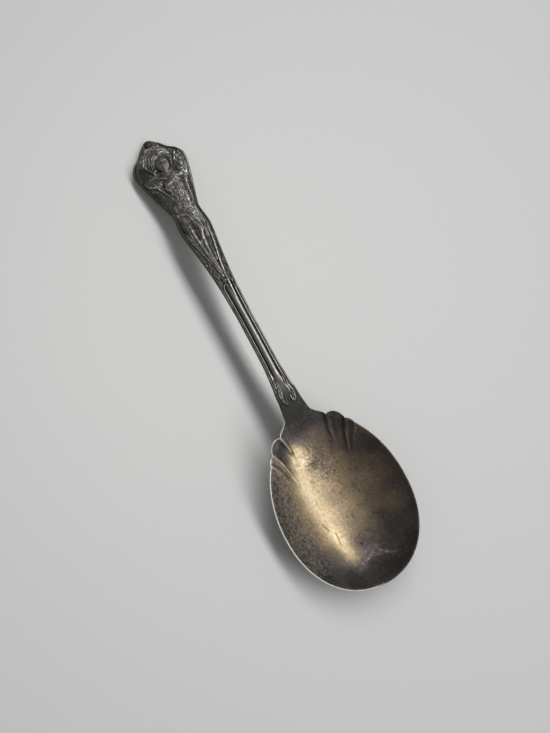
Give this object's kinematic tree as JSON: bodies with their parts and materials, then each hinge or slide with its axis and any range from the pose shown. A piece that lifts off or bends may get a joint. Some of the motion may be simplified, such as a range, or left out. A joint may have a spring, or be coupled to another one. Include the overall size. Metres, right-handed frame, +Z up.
{
  "type": "sugar spoon",
  "caption": "Sugar spoon with a deep egg-shaped bowl, scalloped shell shoulders, an arched reeded stem and a draped figure in relief on the handle.",
  "frame": {"origin": "on the table, under the middle of the spoon's length and width", "axes": "+Z up, +Y along the spoon towards the handle's tip, +X to the right seen from above with the handle's tip pointing away"},
  "size_m": [0.0388, 0.1526, 0.0156],
  "materials": {
    "gilt_bowl": "worn gilt wash over silver plate, brown and grey with tarnish",
    "tarnished_silver": "silver plate dulled by tarnish",
    "worn_silver": "silver plate rubbed bright on its ridges, dark in its hollows"
  },
  "bodies": {
    "root": {"bowl": "gilt_bowl", "drop": "tarnished_silver", "stem": "tarnished_silver", "terminal": "tarnished_silver", "edge_thread_left": "worn_silver", "edge_thread_right": "worn_silver", "neck_scroll_left": "worn_silver", "neck_scroll_right": "worn_silver", "skirt": "worn_silver", "torso": "worn_silver", "head": "worn_silver", "hair": "worn_silver", "flower_spray": "worn_silver", "tip_knob": "tarnished_silver"}
  },
  "joints": []
}
